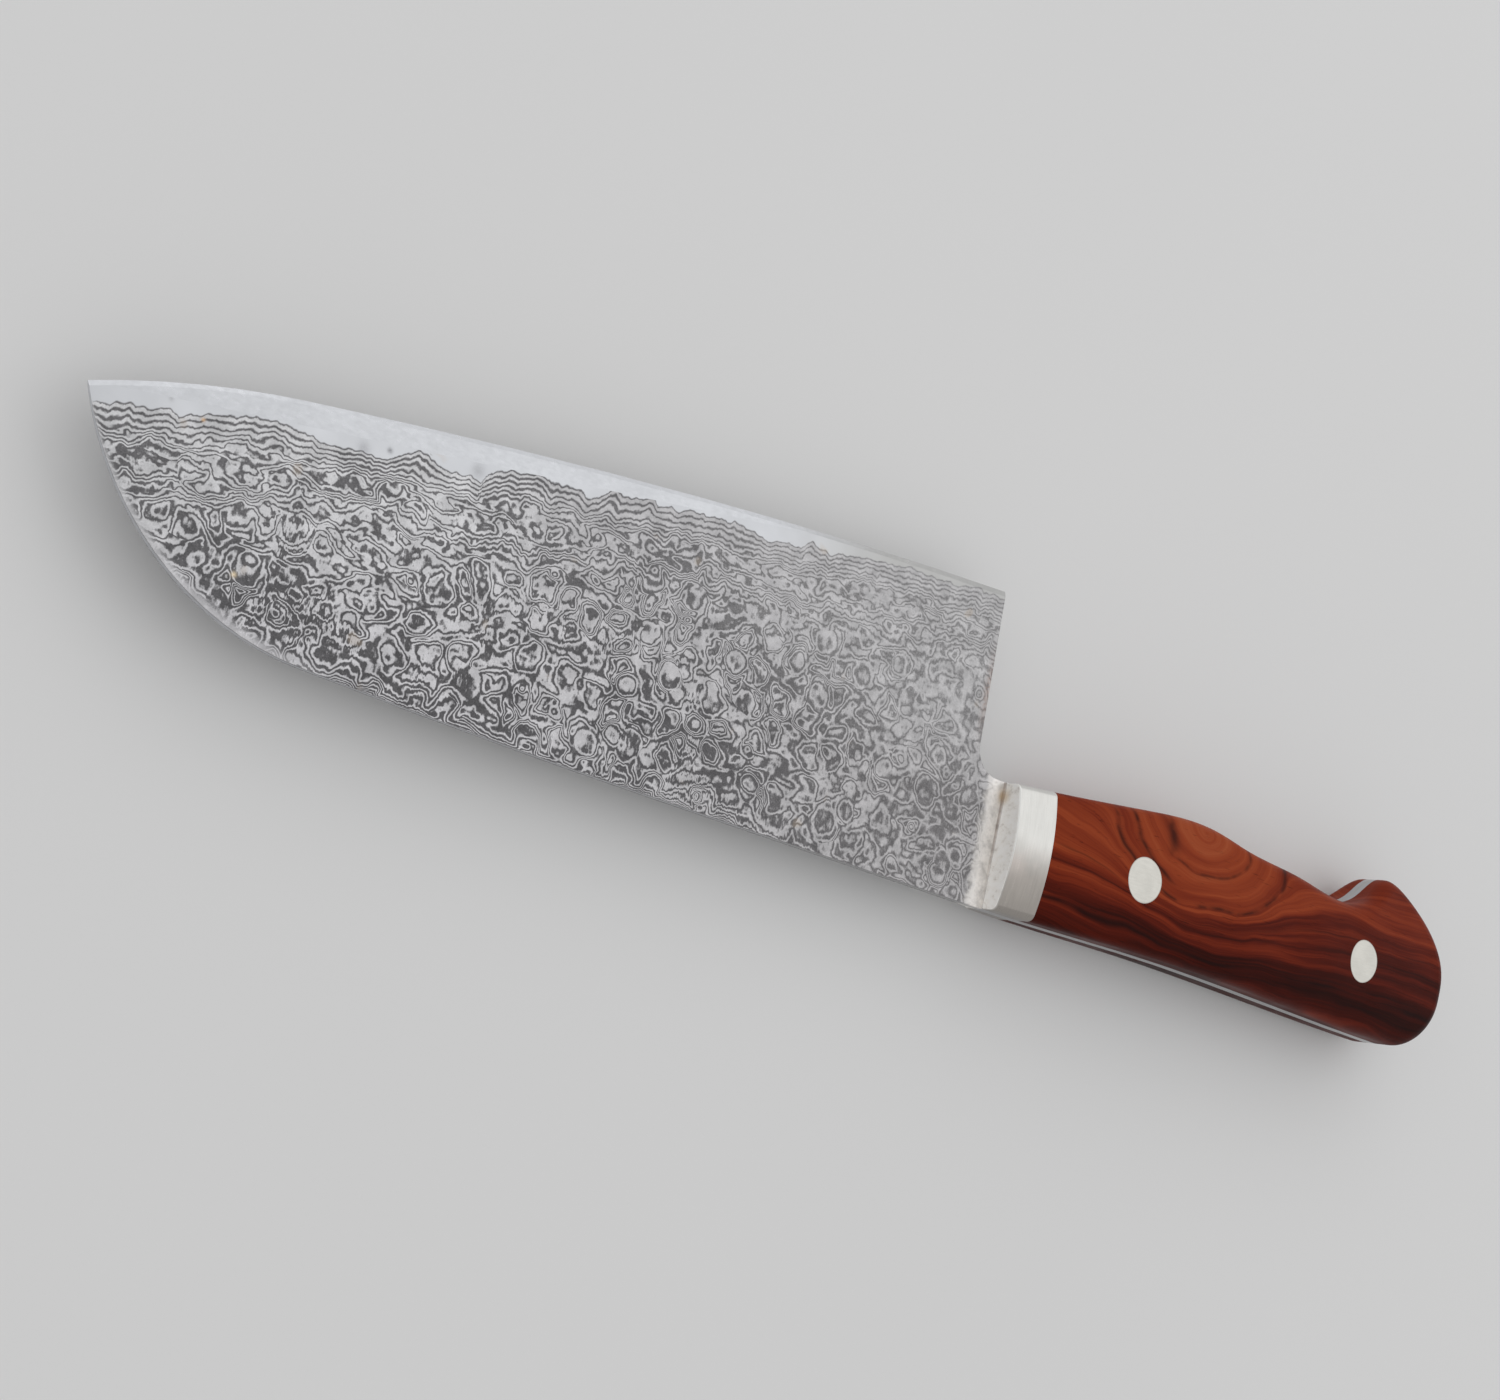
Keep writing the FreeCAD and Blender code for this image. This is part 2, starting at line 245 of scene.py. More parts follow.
# Stretches of the blade in x, over which something changes in full.
STRIP_WIDENS = (10.0, 60.0)
LINES_SPREAD = (15.0, 110.0)
HEEL_FADES = (5.0, 80.0)
NOSE_GROWS = (105.0, 140.0)
RUBBED_GROWS = (20.0, 60.0)
CROWD_GROWS, CROWD_FADES = (40.0, 62.0), (128.0, 140.0)
RIM_GROWS = (128.0, 145.0)
GREY_LIGHTENS = (34.0, 64.0)
DARK_LOW_DARKENS = (45.0, 100.0)
BRIGHT_LOW_LIGHTENS, BRIGHT_HIGH_LIGHTENS = (92.0, 118.0), (60.0, 125.0)
TANG_ENDS = (-0.3, 0.0)

# The domes stand in cells of one size, the eyes in a share of smaller and of
# larger cells: cell size, share, radius, seed.
DOME_CELL = 5.6
EYES = ((4.4, 0.13, 1.2, 31.0), (7.0, 0.28, 2.8, 0.0))

EDGE_GREY = srgb(212, 214, 218)    # bare steel forward of the heel
HEEL_GREY = srgb(185, 185, 184)
TANG_GREY = srgb(188, 189, 191)
SPECK_GREY = srgb(140, 138, 136)

# Dark and bright etched layers: high is toward the spine, low is toward the
# edge; they differ at the heel and, for some, further ahead.
DARK_HIGH = srgb(98, 97, 99)
DARK_LOW, DARK_LOW_AHEAD = srgb(138, 137, 138), srgb(115, 114, 116)
DARK_HEEL_HIGH, DARK_HEEL_LOW = srgb(128, 126, 127), srgb(142, 141, 142)
BRIGHT_HIGH, BRIGHT_HIGH_AHEAD = srgb(190, 189, 191), srgb(203, 202, 205)
BRIGHT_LOW, BRIGHT_LOW_AHEAD = srgb(188, 187, 189), srgb(208, 208, 210)
BRIGHT_HEEL_HIGH, BRIGHT_HEEL_LOW = srgb(175, 173, 174), srgb(184, 183, 184)

RUBBED_AND_LIT_WHITE = srgb(252, 248, 244)     # where the etch is worn off by the bolster, painted near white as painted light over the corner's shade
HEEL_STAIN = srgb(150, 120, 104)
SEAM_STAIN = srgb(128, 106, 92)
BLADE_RUST = srgb(190, 162, 118)
WARM_STAIN = srgb(190, 172, 150)
HEEL_STAIN_PLACE = (8.2, 37.0)         # on the back of the heel
SEAM_X = 0.15                          # along the joint of blade and bolster
RUST_PLACE = (0.4, 20.2)               # a rust spot across that joint

# Small spots on the right face: x, depth, radius, strength, colour.
RIGHT_MARKS = [
    (130.0, 35.4, 0.45, 0.8, srgb(128, 128, 132)), (134.0, 34.2, 1.0, 0.45, srgb(140, 140, 144)),
    (115.5, 37.8, 1.1, 0.45, srgb(145, 145, 148)), (163.0, 30.3, 0.4, 0.4, srgb(150, 150, 152)),
    (147.9, 10.4, 0.4, 0.95, srgb(240, 222, 192)), (157.9, 29.2, 0.3, 0.9, srgb(222, 186, 150))]


def arc(start, heading, end):
    """Centre and radius of the arc from start to end that sets off along heading."""
    chord = (end[0] - start[0], end[1] - start[1])
    side = (heading[1], -heading[0])
    reach = (chord[0] ** 2 + chord[1] ** 2) / (2 * (chord[0] * side[0] + chord[1] * side[1]))
    centre = (start[0] + side[0] * reach, start[1] + side[1] * reach)
    return centre, math.hypot(end[0] - centre[0], end[1] - centre[1])


def edge_arcs():
    """The edge's long arc and the tip's arc, each a centre and a radius."""
    long_arc = arc(HEEL, (math.cos(EDGE_CLIMB), -math.sin(EDGE_CLIMB)), EDGE_TURN)
    centre, radius = long_arc
    heading = ((EDGE_TURN[1] - centre[1]) / radius, -(EDGE_TURN[0] - centre[0]) / radius)
    return long_arc, arc(EDGE_TURN, heading, TIP)


def edge_distance(g):
    """Distance in from the cutting edge."""
    long_side, tip_side = [radius - g.length(g.x - centre[0], g.depth - centre[1])
                           for centre, radius in edge_arcs()]
    share = g.step(g.x, EDGE_TURN[0] - TURN_BLEND, EDGE_TURN[0] + TURN_BLEND)
    return long_side * (1 - share) + tip_side * share


def spine_distance(g):
    """Distance in from the spine, straight and then falling to the tip."""
    drop = g.math("MAXIMUM", g.x - FALL_START, 0.0)
    fall = drop * drop / (2 * FALL_RADIUS)
    nose = g.math("MAXIMUM", g.x - NOSE_START, 0.0)
    chord = g.math("SQRT", g.math("MAXIMUM", NOSE_RADIUS ** 2 - nose * nose, 1.0))
    return g.depth - fall - (NOSE_RADIUS - chord)


class PatternedSteel(Graph):
    """Layered steel of one cladding, ground through so that its layers show.

    The layers are the contour lines of a height that is counted in layers:
    two sets of lines follow the edge, and terraces, domes and round eyes
    fill the rest. Both faces have the same steel; seed tells them apart."""

    def __init__(self, name, seed):
        super().__init__(name)
        self.seed = seed
        self.edge = edge_distance(self)
        self.spine = spine_distance(self)
        self.grain = self.noise(self.join(self.x, self.depth, self.z), 4.0, 2.0, 0.6)
        self.shift_x = (self.over(0.0, 0.25, 1.0) - 0.5) * 3.2
        self.shift_depth = (self.over(40.0, 0.25, 1.0) - 0.5) * 3.2
        # distance in from the bare strip and from the second set of lines
        strip = self.strip_width()
        self.into = self.edge - strip + self.meander(0.0, 2.8, 7.0)
        self.second = self.edge - strip - SECOND_LINES + self.meander(7.0, 4.6, 21.0)
        # zones, each from 0 outside to 1 inside
        self.nose = self.step(self.x, *NOSE_GROWS)
        self.heel = 1 - self.step(self.x, *HEEL_FADES)
        self.low_side = self.step(self.edge, self.heel * 8.0 + 34.0, self.heel * 12.0 + 9.0)
        self.facing = self.step(self.math("ABSOLUTE", self.normal[2]), 0.6, 0.9)
        self.tang = 1 - self.step(self.x, *TANG_ENDS)
        bare = (1 - self.step(self.into, -0.15, 0.15)) * self.facing
        self.plain = self.math("MAXIMUM", bare, self.tang)
        # hatched patches toward the spine, where the etch has bitten unevenly
        rubbed = self.step(self.over(33.0, 0.10, 2.0), 0.50, 0.62)
        rubbed = rubbed * self.step(self.spine, 30.0, 16.0) * self.step(self.x, *RUBBED_GROWS)
        self.rubbed = rubbed * self.step(self.into, 9.0, 15.0)

    def over(self, seed, scale, detail, rough=0.5):
        """Noise from 0 to 1 over the face."""
        return self.noise(self.join(self.x, self.depth, self.seed + seed), scale, detail, rough)

    def drawn(self, seed, along, down, rough=0.5):
        """Noise about 0 with along and down features per millimetre."""
        place = self.join(self.x * along, self.depth * down, self.seed + seed)
        return self.noise(place, rough=rough) - 0.5

    def strip_width(self):
        """Width of the bare strip, which the lines follow less closely further in."""
        width = self.curve(self.x + (self.grain - 0.5) * 0.8, BARE_STRIP)
        width = width * self.step(self.x, *STRIP_WIDENS, 0.55, 1.0)
        smooth = self.step(self.x, *LINES_SPREAD, 1.2, 4.2)
        return smooth + (width - smooth) * self.step(self.edge, 2.0, 13.0, 1.0, 0.0)

    def meander(self, slow, quick, seed):
        """Wandering of a line along the edge, in long waves and in peaks."""
        waves = self.noise(self.join(self.x, 0.0, self.seed + seed), 0.05, 1.0) - 0.5
        peaks = self.join(self.x, self.edge * 0.3, self.seed + seed + 2.0)
        return waves * slow + (self.noise(peaks, 0.38, 2.0) - 0.5) * quick

    def cells(self, feature, size, drift, seed):
        """Irregular cells: distance to the feature, and F1's chance values by cell."""
        made = self.tree.nodes.new("ShaderNodeTexVoronoi")
        made.voronoi_dimensions = "2D"
        made.feature = feature
        place = self.join(self.x + self.shift_x * drift + (self.seed + seed),
                          self.depth + self.shift_depth * drift)
        self.put(made.inputs["Vector"], place)
        self.put(made.inputs["Scale"], 1 / size)
        return Field(self, made.outputs["Distance"]) * size, made.outputs.get("Color")

    def domes(self):
        """Domes side by side; narrow sloping valleys part them."""
        border, _ = self.cells("DISTANCE_TO_EDGE", DOME_CELL, 1.1, 90.0)
        centre, chances = self.cells("F1", DOME_CELL, 1.1, 90.0)
        round_top = 1 - self.step(centre, 1.4, 3.6)
        wall = self.step(border, -0.2, 1.4) * round_top
        tall = self.split(chances)[0] * 2.6 + 1.0
        return wall * tall * (1 - self.heel * 0.6) * (1 - self.rubbed * 0.5)

    def eyes(self, height, ground, size, share, radius, seed):
        """The height with eyes let into it, each a flat top inside a raised rim."""
        distance, chances = self.cells("F1", size, 0.4, seed)
        chance_top, chance_rim, chance_here = self.split(chances)
        rim = (0.75 + chance_rim * 0.35) * radius
        present = self.step(chance_here, 1 - share - 0.02, 1 - share + 0.02)
        present = present * self.step(self.second, -3.5, -1.5)
        within = (1 - self.step(distance - rim, -0.8, 0.4)) * present
        ring = self.bell(distance, rim, 0.75) * present
        top = ground + chance_top * 3.0 - 1.0
        return height * (1 - within) + top * within + ring * 1.2

    def height(self):
        """Height of the ground face, in layers."""
        first = self.clamp(self.into + 0.8, 5.6) * 1.15
        slope = self.clamp(self.into - 3.0, 10.0 + self.nose * 9.0) * 0.42
        rise = first + slope + self.step(self.second, 0.0, 3.5, 0.0, 2.4)
        broad = (self.over(0.0, 0.08, 1.0) - 0.5) * 3.0 + (self.over(0.0, 0.38, 1.5) - 0.5) * 1.7
        ground = rise + broad * self.step(self.into, 0.0, 6.0)

        place = self.join((self.x + self.shift_x) * 0.15, (self.depth + self.shift_depth) * 0.34,
                          self.seed + 60.0)
        terraces = (self.noise(place, 1.0, 2.0, 0.45) - 0.5) * 7.0 * self.step(self.into, 0.5, 6.0)
        inner = 1 - self.nose * self.step(self.spine, 7.0, 13.0)
        inner = self.step(self.second, 1.5, 7.0) * inner
        height = ground + terraces * (1 - inner * 0.45) + self.domes() * inner
        for size, share, radius, seed in EYES:
            height = self.eyes(height, ground, size, share, radius, seed)

        # the lines crowd along the middle of the spine
        window = self.step(self.x, *CROWD_GROWS) * (1 - self.step(self.x, *CROWD_FADES))
        crowd = self.math("EXPONENT", self.spine * -0.9) * (window * 3.0 + 1.0)
        ripple = self.drawn(3.0, 1.6, 0.7) * self.step(self.into, 0.5, 9.0, 0.25, 0.75)
        return height + crowd + ripple + self.drawn(4.0, 2.2, 0.55, 0.6) * self.rubbed * 1.5

    def brightness(self):
        """From 0 on a dark layer to 1 on a bright one."""
        cut = self.step(self.over(80.0, 0.09, 1.0), 0.35, 0.65, 0.40, 0.60)
        cut = cut - self.low_side * (self.heel * 0.10 + 0.02)
        cut = cut - self.step(self.into, 7.0, 3.0, 0.0, 0.05)
        cut = cut + self.step(self.depth, 22.0, 8.0, 0.0, 0.06)
        soft = self.heel * 0.20 + 0.27
        light = self.stripes(self.height()) - cut + (self.grain - 0.5) * 0.40
        light = self.step(light, soft * -1.0, soft)

        # layers seen edge-on, on the spine and the back of the heel
        waver = self.noise(self.join(self.x * 0.1, self.depth * 0.1, self.z), 1.0) - 0.5
        level = self.math("ABSOLUTE", self.z) * 9.0 + waver * 2.0
        edgewise = self.step(self.stripes(level), 0.3, 0.7)
        light = light * self.facing + edgewise * (1 - self.facing) * 0.5
        light = light + (1 - self.facing) * 0.35
        rim = 1 - self.step(self.spine + (self.grain - 0.5) * 2.0, 0.2, 1.8)
        return self.math("MAXIMUM", light, rim * self.step(self.x, *RIM_GROWS) * 0.9)

    def etched(self, light):
        """Colour of the etched layers: low in contrast at the heel, high ahead."""
        low_dark = self.mix(self.step(self.x, *DARK_LOW_DARKENS), DARK_LOW, DARK_LOW_AHEAD)
        dark = self.mix(self.low_side, DARK_HIGH, low_dark)
        heel_dark = self.mix(self.low_side, DARK_HEEL_HIGH, DARK_HEEL_LOW)
        dark = self.mix(self.heel * 0.85, dark, heel_dark)
        dark = self.scaled(dark, self.step(self.grain, 0.2, 0.8, 0.75, 1.25))

        ahead = self.step(self.x, *BRIGHT_LOW_LIGHTENS)
        low_bright = self.mix(ahead, BRIGHT_LOW, BRIGHT_LOW_AHEAD)
        ahead = self.step(self.x, *BRIGHT_HIGH_LIGHTENS)
        high_bright = self.mix(ahead, BRIGHT_HIGH, BRIGHT_HIGH_AHEAD)
        bright = self.mix(self.low_side, high_bright, low_bright)
        heel_bright = self.mix(self.low_side, BRIGHT_HEEL_HIGH, BRIGHT_HEEL_LOW)
        bright = self.mix(self.heel * 0.85, bright, heel_bright)
        bright = self.scaled(bright, self.step(self.grain, 0.25, 0.75, 0.90, 1.06))

        colour = self.mix(light, dark, bright)
        patchy = self.over(0.0, 0.33, 3.0, 0.6)
        colour = self.scaled(colour, self.step(patchy, 0.28, 0.72, 0.84, 1.12))
        # by the bolster: the etch rubbed paler, and painted near white as painted light over the
        # shade of the corner
        faded = self.over(9.0, 0.5, 3.0, 0.6)
        worn = 1 - self.step(self.x + (faded - 0.5) * 5.0, 2.2, 5.2)
        worn = worn * self.step(faded, 0.25, 0.6, 0.78, 0.95)
        white = self.scaled(RUBBED_AND_LIT_WHITE, self.step(faded, 0.3, 0.65, 0.80, 1.0))
        return self.mix(worn, colour, white)

    def satin(self):
        """Colour of the bare strip and the tang."""
        colour = self.mix(self.step(self.x, *GREY_LIGHTENS), HEEL_GREY, EDGE_GREY)
        cloud = self.step(self.over(0.0, 0.11, 3.0, 0.55), 0.3, 0.75, 0.93, 1.04)
        colour = self.scaled(self.mix(self.tang, colour, TANG_GREY), cloud)
        speck = self.step(self.over(5.0, 0.5, 3.0, 0.7), 0.70, 0.80)
        return self.mix(speck * 0.5, colour, SPECK_GREY)

    def stained(self, colour, marks):
        """The colour with its stains: at the heel, the bolster, and in spots."""
        back = self.bell(self.x, HEEL_STAIN_PLACE[0], 0.9)
        back = back * self.bell(self.depth, HEEL_STAIN_PLACE[1], 6.0)
        back = back * self.step(self.grain, 0.3, 0.6)
        colour = self.mix(back * 0.5, colour, HEEL_STAIN)
        seam = self.bell(self.x, SEAM_X, 0.14) * self.step(self.depth, 3.0, 14.0, 0.1, 0.55)
        uneven = self.noise(self.join(0.0, self.depth, self.seed), 0.5, 3.0)
        seam = seam * self.step(uneven, 0.25, 0.5, 0.55, 1.0)
        colour = self.mix(seam * (1 - self.tang), colour, SEAM_STAIN)
        rust = self.bell(self.x, RUST_PLACE[0], 0.6) * self.bell(self.depth, RUST_PLACE[1], 1.1)
        colour = self.mix(rust * 0.6, colour, BLADE_RUST)
        warm = self.step(self.over(17.0, 0.22, 1.0), 0.72, 0.80)
        colour = self.mix(warm * 0.25, colour, WARM_STAIN)
        for x, depth, radius, strength, tint in marks:
            across = (self.x - x) / radius
            below = (self.depth - depth) / radius
            spot = self.math("EXPONENT", (across * across + below * below) * -1.0)
            spot = spot * strength * self.step(self.grain, 0.2, 0.55, 0.5, 1.0)
            colour = self.mix(spot, colour, tint)
        return colour


def patterned_steel(name, seed, marks=()):
    """Material of one cladding, etched between its bare strip and its spine."""
    g = PatternedSteel(name, seed)
    light = g.brightness()
    colour = g.stained(g.mix(g.plain, g.etched(light), g.satin()), marks)
    roughness = g.step(light, 0.0, 1.0, 0.46, 0.33)
    roughness = roughness * (1 - g.plain) + g.plain * 0.30
    lift = light * (1 - g.plain) + g.plain
    normal = g.bump(lift + g.grain * 0.25, 0.012, 0.35)
    return g.finish(Base_Color=colour, Metallic=1.0, Roughness=roughness, Normal=normal)


def satin_steel(name, ahead, lines, rough):
    """Plain ground steel, grey at the heel and of the colour ahead forward of it.

    Noise drawn out by lines gives fine parallel scratches."""
    g = Graph(name)
    scratch = g.noise(g.join(g.x * lines[0], g.depth * lines[1], g.z * lines[2]), 1.0, 4.0, 0.65)
    cloud = g.noise(g.place, 0.12, 3.0)
    tint = g.mix(g.step(g.x, *GREY_LIGHTENS), HEEL_GREY, ahead)
    colour = g.scaled(tint, g.step(scratch * 0.6 + cloud * 0.4, 0.25, 0.75, 0.92, 1.05))
    roughness = g.step(scratch, 0.2, 0.8, rough + 0.06, rough - 0.04)
    normal = g.bump(scratch, 0.01, 0.3)
    return g.finish(Base_Color=colour, Metallic=1.0, Roughness=roughness, Normal=normal)


# ---- Bolster and rivets ----
# Bolster side: painted shade toward the spine, painted light toward the edge side
BOLSTER_SHADED, BOLSTER_LIT = srgb(158, 152, 146), srgb(219, 218, 214)
# a painted pinkish reflection across the middle of the bolster side
BOLSTER_PINK_REFLECTION = srgb(186, 168, 160)
BOLSTER_RUST = srgb(194, 164, 118)
# a painted glint along the bolster's rounded front edge
CORNER_GLINT_WHITE = srgb(253, 253, 250)
# Front face: real mottling, painted near white as a painted reflection of the light
FRONT_TONES_PAINTED_BRIGHT = [(0.30, srgb(218, 212, 205)), (0.46, srgb(249, 246, 241)),
               (0.60, srgb(254, 252, 249))]
RIVET_GREY, RIVET_RIM_BROWN = srgb(212, 210, 203), srgb(120, 108, 98)
RIVETS = {"front": (-31.9, 13.5), "rear": (-95.8, 13.4)}
RIVET_RADIUS = 4.2
RIM_WIDTH = 0.25


def bolster_steel(name):
    """Satin bolster: fine scratches, painted shade toward the spine, mottled front painted bright.
    """
    g = Graph(name)
    scratch = g.noise(g.join(g.x * 3.5, g.depth * 0.18, g.z * 0.3), 1.0, 4.0, 0.7)
    cloud = g.noise(g.place, 0.16, 3.0)
    # painted shade and light: darker toward the spine, paler toward the edge side, as reflections
    # of dark ground and bright light
    painted_light_share = g.step(g.depth + (cloud - 0.5) * 5.0, 6.0, 14.5)
    colour = g.mix(painted_light_share, BOLSTER_SHADED, BOLSTER_LIT)
    colour = g.scaled(colour, g.step(scratch * 0.6 + cloud * 0.4, 0.3, 0.7, 0.90, 1.05))
    # painted reflection: a pinkish band across the middle of the side
    painted_reflection = g.bell(g.depth, 9.5, 2.5) * g.step(cloud, 0.3, 0.6)
    colour = g.mix(painted_reflection * 0.4, colour, BOLSTER_PINK_REFLECTION)

    # front face: real mottle, painted near white and made less metallic as a painted reflection
    front = g.step(g.normal[0], 0.6, 0.9)
    mottle = g.noise(g.join(g.x, g.depth, g.z), 0.7, 4.0, 0.62)
    colour = g.mix(front, colour, g.ramp(mottle, FRONT_TONES_PAINTED_BRIGHT))
    rust = g.bell(g.depth, RUST_PLACE[1], 1.2) * front * g.bell(g.math("ABSOLUTE", g.z), 1.5, 0.7)
    colour = g.mix(rust * 0.6, colour, BOLSTER_RUST)
    # painted glint: near white and less metallic on the rounded front edge
    painted_glint = g.bell(g.normal[0], 0.5, 0.30) * g.step(g.depth, 4.0, 12.0, 0.3, 1.0)
    colour = g.mix(painted_glint * 0.9, colour, CORNER_GLINT_WHITE)

    roughness = g.step(scratch, 0.2, 0.8, 0.36, 0.26) + front * 0.2
    normal = g.bump(scratch * (1 - front) + mottle * front * 2.0, 0.012, 0.35)
    return g.finish(Base_Color=colour, Metallic=1 - front * 0.75 - painted_glint * 0.5,
                    Roughness=roughness, Normal=normal)


def rivet_steel(name, centre):
    """Ground-flush rivet head with faint turned rings under the satin."""
    g = Graph(name)
    radius = g.length(g.x - centre[0], g.depth - centre[1])
    ring = g.noise(g.join(radius * 3.0, 0.0), 1.0, 3.0, 0.7)
    scratch = g.noise(g.join(g.x * 0.5, g.depth * 3.0, g.z), 1.0, 4.0, 0.7)
    cloud = g.noise(g.place, 0.25, 2.0)
    tone = g.step(ring * 0.3 + scratch * 0.3 + cloud * 0.4, 0.3, 0.7, 0.9, 1.06)
    rim = g.step(radius, RIVET_RADIUS - RIM_WIDTH, RIVET_RADIUS)
    colour = g.mix(rim * 0.45, g.scaled(RIVET_GREY, tone), RIVET_RIM_BROWN)
    roughness = g.step(scratch, 0.2, 0.8, 0.38, 0.28)
    normal = g.bump(ring + scratch, 0.008, 0.3)
    return g.finish(Base_Color=colour, Metallic=1.0, Roughness=roughness, Normal=normal)


# ---- Wood ----
WOOD_TONES = [(0.24, srgb(38, 5, 1)), (0.36, srgb(62, 12, 3)), (0.47, srgb(90, 24, 9)),
              (0.57, srgb(122, 42, 19)), (0.68, srgb(150, 63, 32)), (0.80, srgb(172, 88, 52))]
STREAK_BROWN, ARC_BROWN, PORE_BROWN = srgb(30, 7, 5), srgb(40, 10, 7), srgb(26, 9, 7)
# The nest of arcs that the streaks part round: distance behind the bolster's
# front, depth, and half its length and height.
NEST_BACK, NEST_DEPTH = 47.0, 26.0
NEST_LENGTH, NEST_HEIGHT = 24.0, 14.0
NEST_MIDDLE = (-41.0, -36.0)       # in x, between its back arc and its front arc
WEDGE_X = -37.6
# Single dark streaks: place across the flow, width, strength.
STREAKS = ((21.3, 0.55, 0.9), (20.0, 0.25, 0.6), (23.4, 0.4, 0.6), (13.8, 0.30, 0.45),
           (11.0, 0.25, 0.4))


def figured_wood(name, seed):
    """Red-brown wood: long dark streaks that part round a nest of arcs."""
    g = Graph(name)

    def wobble(z):
        return g.noise(g.join(g.x * 0.5, g.depth, z), 0.11, 2.0) - 0.5

    x = g.x + wobble(g.z + seed) * 5.0
    depth = g.depth + wobble(g.z + seed + 30.0) * 3.6

    # flow is the place across the streaks, ring the squared reach from the nest
    up = NEST_DEPTH - depth
    across = (x + NEST_BACK) / NEST_LENGTH
    down = up / NEST_HEIGHT
    ring = across * across + down * down
    outside = g.math("MAXIMUM", ring, 1.0)
    inside = g.math("SQRT", g.math("MINIMUM", ring, 1.0))
    flow = up * (1 - 1.0 / (outside * outside)) - (1 - inside) * 9.0
    flow = flow + g.math("ABSOLUTE", g.z) * 0.25

    bands = g.noise(g.join(x * 0.010, flow * 0.20, seed), 1.0, 2.0)
    streaks = g.noise(g.join(x * 0.018, flow * 0.70, seed + 3.0), 1.0, 3.0, 0.6)
    lines = g.noise(g.join(x * 0.05, flow * 3.0, seed + 6.0), 1.0, 3.0, 0.6)
    tone = (bands - 0.5) * 0.55 + (streaks - 0.5) * 0.36 + (lines - 0.5) * 0.16
    # painted shade: darker toward the spine, more so toward the butt, and a painted sheen lighter
    # toward the belly
    shade = g.depth + g.step(g.x, -115.0, -45.0, -9.0, 0.0)
    painted_shade_and_sheen = g.step(shade, 1.0, 17.0, -0.13, 0.10) + g.step(g.x, -110.0, -25.0, -0.025, 0.025)
    colour = g.ramp(tone + painted_shade_and_sheen + 0.5, WOOD_TONES)

    for centre, width, strength in STREAKS:
        broken = g.noise(g.join(x * 0.045, centre, seed + 11.0), 1.0, 2.0)
        dark = g.bell(flow, centre, width) * g.step(broken, 0.35, 0.55)
        colour = g.mix(dark * strength, colour, STREAK_BROWN)

    # the nest: one whole arc, one on each side, and a dark wedge
    reach = g.math("SQRT", ring)
    ahead = g.step(x, *NEST_MIDDLE)
    arcs = g.bell(reach, 1.0, 0.028) * 0.75 + g.bell(reach, 0.80, 0.025) * ahead * 0.8
    arcs = arcs + g.bell(reach, 0.55, 0.022) * (1 - ahead) * 0.6
    arcs = arcs + g.bell(reach, 0.43, 0.10) * g.bell(x, WEDGE_X, 1.6) * 0.8
    faint = g.noise(g.join(x * 0.2, depth * 0.2, seed + 13.0), 1.0, 2.0)
    colour = g.mix(arcs * g.step(faint, 0.3, 0.55), colour, ARC_BROWN)

    pores = g.noise(g.join(g.x * 0.22, g.depth * 4.5, g.z * 4.5), 1.0, 2.0)
    pore = g.step(pores, 0.66, 0.74)
    colour = g.mix(pore * 0.5, colour, PORE_BROWN)
    worn = g.noise(g.place, 0.09, 3.0)
    roughness = g.step(worn, 0.3, 0.7, 0.36, 0.48) + pore * 0.15
    normal = g.bump(lines * 0.6 - pore * 1.5, 0.02, 0.4)
    return g.finish(Base_Color=colour, Roughness=roughness, Normal=normal,
                    Specular_IOR_Level=0.05)


# ---- Paint every CAD node ----
paint(satin_steel("core steel", EDGE_GREY, (0.9, 1.6, 1.6), 0.30), "blade_core")
paint(patterned_steel("patterned steel right", 3.0, RIGHT_MARKS), "cladding_right")
paint(patterned_steel("patterned steel left", 131.0), "cladding_left")
paint(bolster_steel("bolster steel"), "bolster_right", "bolster_left")
paint(figured_wood("scale wood right", 2.0), "scale_right")
paint(figured_wood("scale wood left", 57.0), "scale_left")
for end, centre in RIVETS.items():
    head = rivet_steel(end + " rivet steel", centre)
    paint(head, end + "_rivet_tube", end + "_rivet_shank")
paint(satin_steel("dowel steel", HEEL_GREY, (3.0, 3.0, 0.2), 0.35),
      "bolster_dowel_upper", "bolster_dowel_lower")


# ---- Floor, light and camera, in metres ----
FLOOR_GREY = 0.82
FLOOR_HALF = 4.0
FLOOR_Z = -0.0002        # just clear of the knife's underside
SKY = 0.62

# Area lamps: name, place, what it faces, width, height, radiance of its face.
SOFTBOXES = (("key", (-0.75, -0.45, 1.0), (0.03, 0.0, 0.0), 1.5, 1.2, 0.40),
             ("fill", (0.2, -1.2, 0.7), (0.0, 0.0, 0.0), 1.2, 0.6, 0.6),
             ("front", (1.3, -0.3, 0.5), (0.0, 0.0, 0.0), 0.8, 0.6, 0.5))

# Above the right face, so that the edge is uppermost in the view.
CAMERA_PLACE = (0.2426, 0.0790, 0.2960)
CAMERA_DEGREES = (1.6997, -37.7091, -163.9659)
FOCAL_LENGTH, SENSOR_WIDTH = 54.14, 36.0       # millimetres
CLIP_START = 0.01


def add(name, data):
    """A new object in the scene."""
    made = bpy.data.objects.new(name, data)
    bpy.context.scene.collection.objects.link(made)
    return made


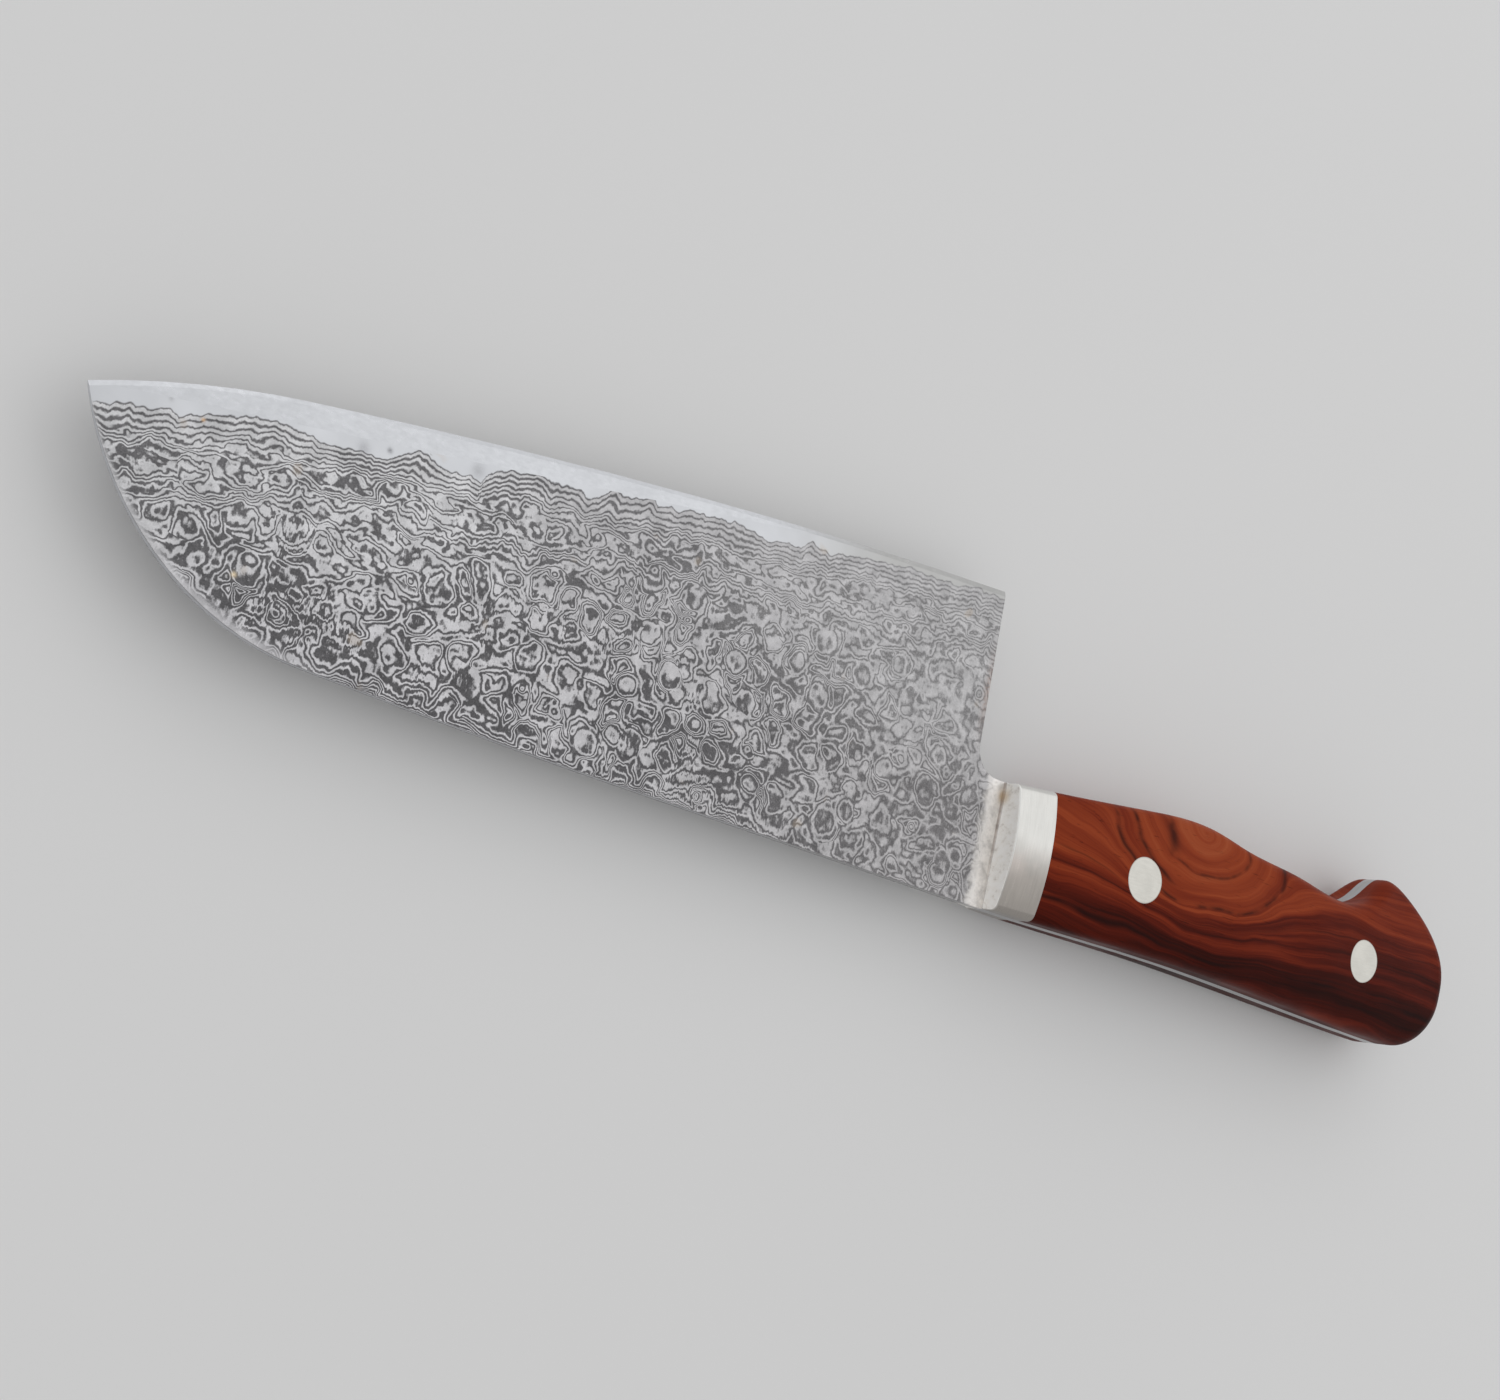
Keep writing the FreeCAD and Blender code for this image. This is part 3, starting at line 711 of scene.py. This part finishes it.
def floor():
    mesh = bpy.data.meshes.new("floor")
    corners = [(-FLOOR_HALF, -FLOOR_HALF, FLOOR_Z), (FLOOR_HALF, -FLOOR_HALF, FLOOR_Z),
               (FLOOR_HALF, FLOOR_HALF, FLOOR_Z), (-FLOOR_HALF, FLOOR_HALF, FLOOR_Z)]
    mesh.from_pydata(corners, [], [(0, 1, 2, 3)])
    g = Graph("floor")
    tone = g.noise(g.place, 0.004, 3.0)
    colour = g.mix(tone, grey(FLOOR_GREY - 0.02), grey(FLOOR_GREY + 0.02))
    mesh.materials.append(g.finish(Base_Color=colour, Roughness=0.85, Specular_IOR_Level=0.2))
    add("floor", mesh)


def softbox(name, place, target, width, height, radiance):
    """Area lamp that faces the target."""
    lamp = bpy.data.lights.new(name, "AREA")
    lamp.shape = "RECTANGLE"
    lamp.size = width
    lamp.size_y = height
    lamp.energy = radiance * math.pi * width * height
    made = add(name, lamp)
    made.location = place
    toward = Vector(target) - Vector(place)
    made.rotation_euler = toward.to_track_quat("-Z", "Y").to_euler()


def world():
    """Even white light all round."""
    made = bpy.data.worlds.new("studio")
    made.use_nodes = True
    tree = made.node_tree
    background = tree.nodes["Background"]
    background.inputs["Strength"].default_value = SKY
    # seen directly, it matches the far floor, so there is no horizon line
    path = tree.nodes.new("ShaderNodeLightPath")
    tint = tree.nodes.new("ShaderNodeMix")
    tint.data_type = "RGBA"
    tint.inputs[6].default_value = grey(1.0)
    tint.inputs[7].default_value = grey(FLOOR_GREY)
    tree.links.new(path.outputs["Is Camera Ray"], tint.inputs[0])
    tree.links.new(tint.outputs[2], background.inputs["Color"])
    bpy.context.scene.world = made


def camera():
    lens = bpy.data.cameras.new("camera")
    lens.lens = FOCAL_LENGTH
    lens.sensor_width = SENSOR_WIDTH
    lens.clip_start = CLIP_START
    made = add("camera", lens)
    made.location = CAMERA_PLACE
    made.rotation_euler = [math.radians(angle) for angle in CAMERA_DEGREES]
    bpy.context.scene.camera = made


floor()
world()
for lamp in SOFTBOXES:
    softbox(*lamp)
camera()
bpy.context.scene.view_settings.view_transform = "Standard"
